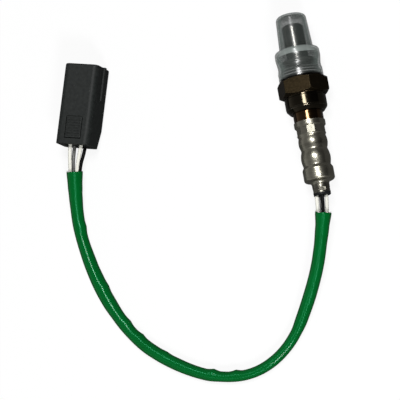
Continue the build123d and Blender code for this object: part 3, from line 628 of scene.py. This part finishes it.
link(fibre_in, "Seed", lean, "Seed")
link(lean, "Value", to_rotation, "Euler")
link(stand_up, "Rotation", tilt, "Rotation")
link(to_rotation, "Rotation", tilt, "Rotate By")
link(tilt, "Rotation", place_stems, "Rotation")
link(fibre_in, "Seed", grow, "Seed")
link(grow, 1, place_stems, "Scale")
link(place_stems, "Instances", realise, "Geometry")
link(realise, "Geometry", varnish_them, "Geometry")
link(varnish_them, "Geometry", fibre_out, "Geometry")


def tree_input(tree, name):
    """The identifier that a modifier knows one of its tree's inputs by."""
    return next(
        socket.identifier
        for socket in tree.interface.items_tree
        if socket.name == name and socket.in_out == "INPUT"
    )


for end_name, row, seed in (("sensor_end", 0, 4), ("connector_end", -1, 9)):
    travelled, middle, ahead, side, across = sleeve_stations[row]
    outwards = -ahead if row == 0 else ahead
    rim_radius = sleeve_outside(travelled) - sleeve_wall / 2
    rim_mesh = bmesh.new()
    rim_ring = []
    for step in range(rim_steps):
        angle = 2 * pi * step / rim_steps
        out = side * cos(angle) + across * sin(angle)
        rim_ring.append(rim_mesh.verts.new(middle + out * rim_radius))
    for step in range(rim_steps):
        rim_mesh.edges.new((rim_ring[step], rim_ring[(step + 1) % rim_steps]))
    rim_data = bpy.data.meshes.new("rim")
    rim_mesh.to_mesh(rim_data)
    rim_mesh.free()
    pointing = rim_data.attributes.new("outward", "FLOAT_VECTOR", "POINT")
    for value in pointing.data:
        value.vector = outwards
    rim = add_object("rim", rim_data)
    modifier = rim.modifiers.new("cut fibres", "NODES")
    modifier.node_group = fibre_tree
    modifier[tree_input(fibre_tree, "Fibres")] = fibre_count
    modifier[tree_input(fibre_tree, "Length")] = fibre_length
    modifier[tree_input(fibre_tree, "Thickness")] = fibre_radius
    modifier[tree_input(fibre_tree, "Seed")] = seed
    grown = finished_mesh(rim)
    bpy.data.objects.remove(rim)
    fibres = add_object(f"sleeve_fibres_{end_name}", grown)
    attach(fibres, "root")

# ---- Floor and light -----------------------------------------------------------------------------
# The part lies on a white table. A wide soft lamp hangs overhead and a smaller one stands beyond
# the round end of the lead, in a pale room that is brighter on the connector's side.
table_size = 6.0
table_lift = 0.88
table_mesh = bmesh.new()
bmesh.ops.create_grid(table_mesh, x_segments=1, y_segments=1, size=table_size / 2)
bmesh.ops.translate(table_mesh, verts=table_mesh.verts, vec=(0, 0, floor_height))
table_data = bpy.data.meshes.new("table")
table_mesh.to_mesh(table_data)
table_mesh.free()
table = add_object("table", table_data)

table_white, tree, shader = new_material(
    "table_white",
    {"Roughness": 0.9, "Specular IOR Level": 0.1},
)
# What the part sees of the table is dimmer than what the lens sees of it, and the lens sees its
# shadows through a share of plain white.
table_tone = node(
    tree,
    "ShaderNodeMix",
    {"A": (0.09, 0.09, 0.09, 1), "B": (0.98, 0.98, 0.98, 1)},
    data_type="RGBA",
)
link(table_tone, "Result", shader, "Base Color")
lift = node(tree, "ShaderNodeEmission", {"Color": (1, 1, 1, 1), "Strength": 1.0})
blend = node(tree, "ShaderNodeMixShader")
ray = node(tree, "ShaderNodeLightPath")
seen = node(tree, "ShaderNodeMath", operation="MAXIMUM")
share = node(tree, "ShaderNodeMath", {1: table_lift}, operation="MULTIPLY")
link(ray, "Is Camera Ray", seen, 0)
link(ray, "Is Transmission Ray", seen, 1)
link(seen, 0, table_tone, "Factor")
link(seen, 0, share, 0)
link(share, 0, blend, "Fac")
link(shader, "BSDF", blend, 1)
link(lift, "Emission", blend, 2)
link(blend, "Shader", tree.nodes["Material Output"], "Surface")
table_data.materials.append(table_white)

world = bpy.data.worlds.new("room")
bpy.context.scene.world = world
world.use_nodes = True
tree = world.node_tree
direction = node(tree, "ShaderNodeTexCoord")
height = node(tree, "ShaderNodeSeparateXYZ")
fade = node(
    tree,
    "ShaderNodeMapRange",
    {"From Min": 0.0, "From Max": 0.7, "To Min": 0.22, "To Max": 0.10},
    interpolation_type="SMOOTHSTEP",
)
across_room = node(tree, "ShaderNodeMapRange", {"From Min": -1.0, "To Min": 2.1, "To Max": 0.1})
room = node(tree, "ShaderNodeMath", operation="MULTIPLY")
link(direction, "Generated", height, 0)
link(height, "Z", fade, "Value")
link(height, "X", across_room, "Value")
link(fade, "Result", room, 0)
link(across_room, "Result", room, 1)
link(room, 0, tree.nodes["Background"], "Color")

# Name, direction, distance, size and power.
lamps = (
    ("main_lamp", (0.20, 0.22, 0.955), 1.65, (0.60, 0.30), 17.0),
    ("front_lamp", (0.26, -0.72, 0.64), 1.65, (0.35, 0.35), 15.0),
)
for lamp_name, towards, distance, (width, length), power in lamps:
    lamp_data = bpy.data.lights.new(lamp_name, "AREA")
    lamp_data.shape = "RECTANGLE"
    lamp_data.size = width
    lamp_data.size_y = length
    lamp_data.energy = power
    lamp = add_object(lamp_name, lamp_data)
    lamp.location = camera_target + Vector(towards).normalized() * distance
    lamp.rotation_mode = "QUATERNION"
    lamp.rotation_quaternion = Vector(towards).to_track_quat("Z", "Y")
    lamp.visible_camera = False

# ---- Housing -------------------------------------------------------------------------------------
# Turned and milled from one steel bar, then plated dark: the M18 thread, the hexagon, the collar,
# and the rim that is rolled in over the packing. The plating is thin and rubs off along the edges.
turning, turning_in, turning_out = new_group(
    "turning_marks",
    [
        ("Place", "NodeSocketVector", None),
        ("Fineness", "NodeSocketFloat", 9000.0),
        ("Waviness", "NodeSocketFloat", 60.0),
    ],
    [("Lines", "NodeSocketFloat"), ("Streaks", "NodeSocketFloat")],
)
line_stretch = node(turning, "ShaderNodeCombineXYZ")
streak_stretch = node(turning, "ShaderNodeCombineXYZ")
fine_scale = node(turning, "ShaderNodeVectorMath", operation="MULTIPLY")
streak_scale = node(turning, "ShaderNodeVectorMath", operation="MULTIPLY")
coarser = node(turning, "ShaderNodeMath", {1: 0.12}, operation="MULTIPLY")
lines = node(turning, "ShaderNodeTexNoise", {"Scale": 1.0, "Detail": 2.0})
streaks = node(turning, "ShaderNodeTexNoise", {"Scale": 1.0, "Detail": 3.0, "Roughness": 0.65})
link(turning_in, "Waviness", line_stretch, "X")
link(turning_in, "Fineness", line_stretch, "Y")
link(turning_in, "Waviness", line_stretch, "Z")
link(turning_in, "Fineness", coarser, 0)
link(turning_in, "Waviness", streak_stretch, "X")
link(coarser, 0, streak_stretch, "Y")
link(turning_in, "Waviness", streak_stretch, "Z")
link(turning_in, "Place", fine_scale, 0)
link(line_stretch, 0, fine_scale, 1)
link(turning_in, "Place", streak_scale, 0)
link(streak_stretch, 0, streak_scale, 1)
link(fine_scale, 0, lines, "Vector")
link(streak_scale, 0, streaks, "Vector")
link(lines, "Fac", turning_out, "Lines")
link(streaks, "Fac", turning_out, "Streaks")

worn_edges, worn_in, worn_out = new_group(
    "worn_edges",
    [("Width", "NodeSocketFloat", 0.2 * mm), ("Strength", "NodeSocketFloat", 2.0)],
    [("Wear", "NodeSocketFloat"), ("Normal", "NodeSocketVector")],
)
rounded = node(worn_edges, "ShaderNodeBevel", samples=6)
true_face = node(worn_edges, "ShaderNodeNewGeometry")
alike = node(worn_edges, "ShaderNodeVectorMath", operation="DOT_PRODUCT")
unlike = node(worn_edges, "ShaderNodeMath", {0: 1.0}, operation="SUBTRACT")
gained = node(worn_edges, "ShaderNodeMath", operation="MULTIPLY", use_clamp=True)
link(worn_in, "Width", rounded, "Radius")
link(rounded, "Normal", alike, 0)
link(true_face, "Normal", alike, 1)
link(alike, "Value", unlike, 1)
link(unlike, 0, gained, 0)
link(worn_in, "Strength", gained, 1)
link(gained, 0, worn_out, "Wear")
link(rounded, "Normal", worn_out, "Normal")


def turned_metal(name, constants, dark, light, worn, rough, fineness, bump, edge_width=0.15 * mm):
    """Turned metal: streaks in tone and gloss round the axis, fine lines and brighter edges."""
    material, tree, shader = new_material(name, {"Metallic": 1.0, **constants})
    place = node(tree, "ShaderNodeTexCoord")
    marks = grouped(tree, turning, {"Fineness": fineness})
    edges = grouped(tree, worn_edges, {"Width": edge_width})
    tone = node(tree, "ShaderNodeMix", {"A": (*dark, 1), "B": (*light, 1)}, data_type="RGBA")
    rubbed = node(tree, "ShaderNodeMix", {"B": (*worn, 1)}, data_type="RGBA")
    gloss = node(tree, "ShaderNodeMapRange", {"To Min": rough[0], "To Max": rough[1]})
    relief = node(tree, "ShaderNodeBump", {"Strength": bump, "Distance": 0.01 * mm})
    link(place, "Object", marks, "Place")
    link(marks, "Streaks", tone, "Factor")
    link(tone, "Result", rubbed, "A")
    link(edges, "Wear", rubbed, "Factor")
    link(rubbed, "Result", shader, "Base Color")
    link(marks, "Streaks", gloss, "Value")
    link(gloss, "Result", shader, "Roughness")
    link(marks, "Lines", relief, "Height")
    link(edges, "Normal", relief, "Normal")
    link(relief, "Normal", shader, "Normal")
    return material


def between(tree, low, high):
    """A mask of 1 where the part's own Y lies between two stations."""
    place = node(tree, "ShaderNodeTexCoord")
    station = node(tree, "ShaderNodeSeparateXYZ")
    above = node(tree, "ShaderNodeMath", {1: low}, operation="GREATER_THAN")
    below = node(tree, "ShaderNodeMath", {1: high}, operation="LESS_THAN")
    inside = node(tree, "ShaderNodeMath", operation="MULTIPLY")
    link(place, "Object", station, 0)
    link(station, "Y", above, 0)
    link(station, "Y", below, 0)
    link(above, 0, inside, 0)
    link(below, 0, inside, 1)
    return inside.outputs[0]


def finish_node(name, material):
    """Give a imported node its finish."""
    for material_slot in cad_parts[name].material_slots:
        material_slot.material = material


hexagon_span = (-8.2 * mm, 0.2 * mm)
thread_span = (1.5 * mm, 40 * mm)
housing_plating = turned_metal(
    "dark_plating",
    {},
    (0.030, 0.026, 0.018),
    (0.062, 0.052, 0.036),
    (0.34, 0.31, 0.25),
    (0.08, 0.18),
    7000.0,
    0.25,
    0.25 * mm,
)
# The hexagon keeps the matt face of the drawn bar, with a fine speckle in its plating.
tree = housing_plating.node_tree
shader = tree.nodes["Principled BSDF"]
place = node(tree, "ShaderNodeTexCoord")
on_hexagon = between(tree, *hexagon_span)
on_thread = between(tree, *thread_span)
speckle = grouped(tree, handling, {"Patch size": 300.0, "Speck size": 1700.0, "Specks": 0.6})
matt_gloss = node(tree, "ShaderNodeMapRange", {"To Min": 0.36, "To Max": 0.50})
gloss_there = node(tree, "ShaderNodeMix", data_type="FLOAT")
turned_gloss = shader.inputs["Roughness"].links[0].from_socket
link(place, "Object", speckle, "Place")
link(speckle, "Grain", matt_gloss, "Value")
tree.links.new(on_hexagon, gloss_there.inputs["Factor"])
tree.links.new(turned_gloss, gloss_there.inputs["A"])
link(matt_gloss, "Result", gloss_there, "B")
link(gloss_there, "Result", shader, "Roughness")
# Less light comes back from it, and the rolled thread is left bright.
plating_tone = shader.inputs["Base Color"].links[0].from_socket
speckle_tone = node(
    tree,
    "ShaderNodeMix",
    {"A": (0.16, 0.13, 0.09, 1), "B": (1.05, 0.90, 0.68, 1)},
    data_type="RGBA",
)
matt_tone = node(tree, "ShaderNodeMix", data_type="RGBA", blend_type="MULTIPLY")
thread_tone = node(tree, "ShaderNodeMix", {"B": (0.20, 0.20, 0.185, 1)}, data_type="RGBA")
thread_scale = node(tree, "ShaderNodeMapRange", {"To Min": 1.0, "To Max": 0.3})
link(speckle, "Grain", speckle_tone, "Factor")
tree.links.new(on_hexagon, matt_tone.inputs["Factor"])
tree.links.new(plating_tone, matt_tone.inputs["A"])
link(speckle_tone, "Result", matt_tone, "B")
tree.links.new(on_thread, thread_tone.inputs["Factor"])
tree.links.new(on_thread, thread_scale.inputs["Value"])
link(thread_scale, "Result", shader, "Metallic")
link(matt_tone, "Result", thread_tone, "A")
link(thread_tone, "Result", shader, "Base Color")
finish_node("hex_shell", housing_plating)

# ---- Gasket --------------------------------------------------------------------------------------
# A strip of soft steel, folded into a hollow ring and squeezed on so that it can't come off the
# thread. It crushes between the hexagon and the boss. The packing inside is of the same steel.
# Its steel is painted dark, as painted shade for the gasket lying in shadow under the cap's mouth.
gasket_steel = turned_metal(
    "gasket_steel",
    {},
    (0.060, 0.058, 0.052),
    (0.120, 0.116, 0.105),
    (0.40, 0.38, 0.35),
    (0.30, 0.45),
    4000.0,
    0.3,
)
for name in ("sealing_gasket", "packing_ring"):
    finish_node(name, gasket_steel)

# ---- Protection tubes ----------------------------------------------------------------------------
# Two cups deep-drawn from stainless strip, one inside the other, with rings of punched holes that
# let the gas in. Both are flanged and held under the housing's front lip.
drawn_stainless = turned_metal(
    "drawn_stainless",
    {},
    (0.18, 0.175, 0.160),
    (0.42, 0.410, 0.375),
    (0.50, 0.49, 0.47),
    (0.16, 0.28),
    2500.0,
    0.15,
)
for name in ("outer_protection_tube", "inner_protection_tube"):
    finish_node(name, drawn_stainless)

# ---- Element, ceramics and talc ------------------------------------------------------------------
# The sensing element is a laminated zirconia strip with its heater inside. Two steatite bushes and
# a ring of pressed talc hold it in the housing, and a third bush carries its four contacts.
ceramic_marks = {"Patch size": 300.0, "Speck size": 4000.0, "Specks": 0.75}
zirconia = marked_material(
    "zirconia",
    {"Specular IOR Level": 0.4},
    (0.70, 0.67, 0.57),
    (0.85, 0.83, 0.75),
    (0.35, 0.55),
    ceramic_marks,
    0.2,
)
steatite = marked_material(
    "steatite",
    {"Specular IOR Level": 0.4},
    (0.76, 0.75, 0.70),
    (0.88, 0.87, 0.83),
    (0.45, 0.65),
    ceramic_marks,
    0.3,
)
pressed_talc = marked_material(
    "pressed_talc",
    {"Specular IOR Level": 0.2},
    (0.60, 0.59, 0.54),
    (0.78, 0.77, 0.72),
    (0.80, 0.95),
    {"Patch size": 500.0, "Speck size": 6000.0, "Specks": 0.7},
    0.6,
)
finish_node("sensing_element", zirconia)
finish_node("talc_seal", pressed_talc)
for name in ("lower_ceramic", "upper_ceramic", "terminal_separator"):
    finish_node(name, steatite)

# ---- Inner sleeve --------------------------------------------------------------------------------
# A flanged steel tube that the housing's rim is rolled over. It is polished, and the weld that
# joins it to the shell has tinted it bronze.
tinted_sleeve = turned_metal(
    "bronze_tinted_steel",
    {"Coat Weight": 0.25, "Coat Roughness": 0.06},
    (0.050, 0.026, 0.009),
    (0.110, 0.062, 0.026),
    (0.22, 0.17, 0.12),
    (0.10, 0.20),
    6000.0,
    0.10,
)
finish_node("inner_sleeve", tinted_sleeve)

# ---- Upper shell ---------------------------------------------------------------------------------
# One stainless tube, rolled into two bulges and crimped on the sleeve and on the rubber at its
# neck. It is tumbled to a satin finish, with fine lines and soft clouds in its sheen.
satin_shell = turned_metal(
    "satin_stainless",
    {},
    (0.22, 0.211, 0.170),
    (0.50, 0.482, 0.400),
    (0.60, 0.58, 0.50),
    (0.23, 0.38),
    3200.0,
    0.35,
)
# The jaws leave both crimps darker, and the soft tube has shallow dents. Each row holds a crimp's
# two stations, its tone and its gloss.
tree = satin_shell.node_tree
shader = tree.nodes["Principled BSDF"]
shell_gloss = shader.inputs["Roughness"].links[0].from_socket
shell_tone = shader.inputs["Base Color"].links[0].from_socket
for low, high, tone_there, gloss_there in (
    (-27.25 * mm, -23.8 * mm, (0.26, 0.25, 0.21, 1), 0.42),
    (-57.5 * mm, -52.0 * mm, (0.20, 0.192, 0.16, 1), 0.34),
):
    here = between(tree, low, high)
    pressed_gloss = node(tree, "ShaderNodeMix", {"B": gloss_there}, data_type="FLOAT")
    pressed_tone = node(tree, "ShaderNodeMix", {"B": tone_there}, data_type="RGBA")
    tree.links.new(here, pressed_gloss.inputs["Factor"])
    tree.links.new(shell_gloss, pressed_gloss.inputs["A"])
    tree.links.new(here, pressed_tone.inputs["Factor"])
    tree.links.new(shell_tone, pressed_tone.inputs["A"])
    shell_gloss = pressed_gloss.outputs["Result"]
    shell_tone = pressed_tone.outputs["Result"]
tree.links.new(shell_gloss, shader.inputs["Roughness"])
tree.links.new(shell_tone, shader.inputs["Base Color"])
fine_relief = shader.inputs["Normal"].links[0].from_node
edge_normal = fine_relief.inputs["Normal"].links[0].from_socket
place = node(tree, "ShaderNodeTexCoord")
soft_dents = grouped(tree, handling, {"Patch size": 260.0})
dents = node(tree, "ShaderNodeBump", {"Strength": 0.5, "Distance": 0.35 * mm})
link(place, "Object", soft_dents, "Place")
link(soft_dents, "Patches", dents, "Height")
tree.links.new(edge_normal, dents.inputs["Normal"])
link(dents, "Normal", fine_relief, "Normal")
finish_node("upper_shell", satin_shell)

# ---- Contacts ------------------------------------------------------------------------------------
# Bowed strips of nickel spring alloy press on the pads of the element, each with a barrel crimped
# on its wire. The terminals in the connector are folded from tin-plated brass.
spring_alloy = turned_metal(
    "spring_alloy",
    {},
    (0.46, 0.43, 0.37),
    (0.60, 0.58, 0.52),
    (0.72, 0.70, 0.64),
    (0.22, 0.34),
    5000.0,
    0.15,
)
tinned_brass = turned_metal(
    "tinned_brass",
    {},
    (0.55, 0.53, 0.46),
    (0.70, 0.68, 0.60),
    (0.72, 0.56, 0.30),
    (0.24, 0.40),
    3000.0,
    0.2,
)
for number in range(1, 5):
    finish_node(f"contact_spring_{number}", spring_alloy)
    finish_node(f"terminal_{number}", tinned_brass)

# ---- Rubber parts --------------------------------------------------------------------------------
# A fluorocarbon rubber plug seals the wires in the shell's neck. In the connector, each wire
# carries a lipped seal of soft silicone.
rubber_marks = {"Patch size": 400.0, "Speck size": 5000.0, "Specks": 0.74}
plug_rubber = marked_material(
    "plug_rubber",
    {"Specular IOR Level": 0.20},
    (0.004, 0.0045, 0.005),
    (0.012, 0.0125, 0.013),
    (0.50, 0.68),
    rubber_marks,
    0.4,
)
seal_silicone = marked_material(
    "seal_silicone",
    {"Specular IOR Level": 0.35},
    (0.08, 0.15, 0.12),
    (0.14, 0.23, 0.19),
    (0.45, 0.60),
    rubber_marks,
    0.3,
)
finish_node("rubber_grommet", plug_rubber)
for number in range(1, 5):
    finish_node(f"wire_seal_{number}", seal_silicone)

# ---- Transit cap ---------------------------------------------------------------------------------
# A thin cap moulded in smoke-grey polyethylene, pushed on over the thread and the tip. It is
# cloudy, with flow marks round it, and the tip and the thread show through it.
smoke_cap, tree, shader = new_material(
    "smoke_polyethylene",
    {"IOR": 1.5, "Specular IOR Level": 1.0, "Coat Weight": 0.5, "Coat Roughness": 0.14},
)
place = node(tree, "ShaderNodeTexCoord")
flow = grouped(tree, turning, {"Fineness": 1500.0, "Waviness": 90.0})
cloud = grouped(tree, handling, {"Patch size": 140.0, "Speck size": 1800.0, "Specks": 0.72})
smoke = node(
    tree,
    "ShaderNodeMix",
    {"A": (0.046, 0.056, 0.052, 1), "B": (0.070, 0.082, 0.076, 1)},
    data_type="RGBA",
)
cap_gloss = node(tree, "ShaderNodeMapRange", {"To Min": 0.18, "To Max": 0.34})
cap_relief = node(tree, "ShaderNodeBump", {"Strength": 0.12, "Distance": 0.05 * mm})
# The wall looks milky and denser where it is seen edge on.
grazing = node(tree, "ShaderNodeLayerWeight", {"Blend": 0.5})
edge_on = node(
    tree,
    "ShaderNodeMapRange",
    {"From Min": 0.20, "From Max": 0.55},
    interpolation_type="SMOOTHSTEP",
)
density = node(tree, "ShaderNodeMapRange", {"To Min": 0.38, "To Max": 0.62})
milky = node(tree, "ShaderNodeMix", {"B": (0.215, 0.262, 0.242, 1)}, data_type="RGBA")
link(grazing, "Facing", edge_on, "Value")
link(edge_on, "Result", density, "Value")
link(density, "Result", shader, "Alpha")
link(edge_on, "Result", milky, "Factor")
link(place, "Object", flow, "Place")
link(place, "Object", cloud, "Place")
link(cloud, "Patches", smoke, "Factor")
link(smoke, "Result", milky, "A")
link(milky, "Result", shader, "Base Color")
link(flow, "Streaks", cap_gloss, "Value")
link(cap_gloss, "Result", shader, "Roughness")
link(flow, "Streaks", cap_relief, "Height")
link(cap_relief, "Normal", shader, "Normal")
# Its corner is thicker and a little denser, and its pale tone there is a painted highlight for the
# light that the shoulder catches from above. Three pale rings on the skirt are painted highlights
# for thin lit lines low on it, and a dark band round the mouth is painted shade. Each row holds a
# band's two stations, its tone and its density.
smoky_tone = shader.inputs["Base Color"].links[0].from_socket
thin_density = shader.inputs["Alpha"].links[0].from_socket
for low, high, tone_there, density_there in (
    # Painted highlight: the pale band on the shoulder.
    (11.8 * mm, 15.4 * mm, (0.31, 0.350, 0.33, 1), 0.62),
    # Painted highlights: three pale rings on the skirt.
    (4.55 * mm, 4.80 * mm, (0.16, 0.17, 0.165, 1), 0.55),
    (3.20 * mm, 3.50 * mm, (0.24, 0.25, 0.245, 1), 0.55),
    (1.90 * mm, 2.20 * mm, (0.30, 0.31, 0.305, 1), 0.55),
    # Painted shade: the dark band at the mouth.
    (0.0, 1.1 * mm, (0.006, 0.006, 0.005, 1), 0.70),
):
    here = between(tree, low, high)
    painted_light_band_tone = node(tree, "ShaderNodeMix", {"B": tone_there}, data_type="RGBA")
    band_density = node(tree, "ShaderNodeMix", {"B": density_there}, data_type="FLOAT")
    tree.links.new(here, painted_light_band_tone.inputs["Factor"])
    tree.links.new(smoky_tone, painted_light_band_tone.inputs["A"])
    tree.links.new(here, band_density.inputs["Factor"])
    tree.links.new(thin_density, band_density.inputs["A"])
    smoky_tone = painted_light_band_tone.outputs["Result"]
    thin_density = band_density.outputs["Result"]
tree.links.new(smoky_tone, shader.inputs["Base Color"])
tree.links.new(thin_density, shader.inputs["Alpha"])
finish_node("protective_cap", smoke_cap)

# ---- Connector housing ---------------------------------------------------------------------------
# Moulded in black glass-filled nylon with its lock lever, in a spark-eroded mould that leaves a
# fine matt grain. Its edges are rubbed a little lighter, and dust clings to it.
connector_nylon, tree, shader = new_material("black_nylon", {"Specular IOR Level": 0.25})
place = node(tree, "ShaderNodeTexCoord")
grain = grouped(tree, handling, {"Patch size": 650.0, "Speck size": 1500.0, "Specks": 0.76})
edges = grouped(tree, worn_edges, {"Width": 0.35 * mm, "Strength": 1.6})
nylon_tone = node(
    tree,
    "ShaderNodeMix",
    {"A": (0.0035, 0.0047, 0.0043, 1), "B": (0.0240, 0.0275, 0.0262, 1)},
    data_type="RGBA",
)
rubbed_tone = node(tree, "ShaderNodeMix", {"B": (0.040, 0.042, 0.040, 1)}, data_type="RGBA")
dusty_tone = node(tree, "ShaderNodeMix", {"B": (0.11, 0.11, 0.105, 1)}, data_type="RGBA")
nylon_gloss = node(tree, "ShaderNodeMapRange", {"To Min": 0.46, "To Max": 0.62})
nylon_relief = node(tree, "ShaderNodeBump", {"Strength": 0.55, "Distance": 0.05 * mm})
link(place, "Object", grain, "Place")
link(grain, "Patches", nylon_tone, "Factor")
link(nylon_tone, "Result", rubbed_tone, "A")
link(edges, "Wear", rubbed_tone, "Factor")
link(rubbed_tone, "Result", dusty_tone, "A")
link(grain, "Specks", dusty_tone, "Factor")
link(dusty_tone, "Result", shader, "Base Color")
link(grain, "Patches", nylon_gloss, "Value")
link(nylon_gloss, "Result", shader, "Roughness")
link(grain, "Grain", nylon_relief, "Height")
link(edges, "Normal", nylon_relief, "Normal")
link(nylon_relief, "Normal", shader, "Normal")
for name in ("connector_housing", "terminal_retainer"):
    finish_node(name, connector_nylon)
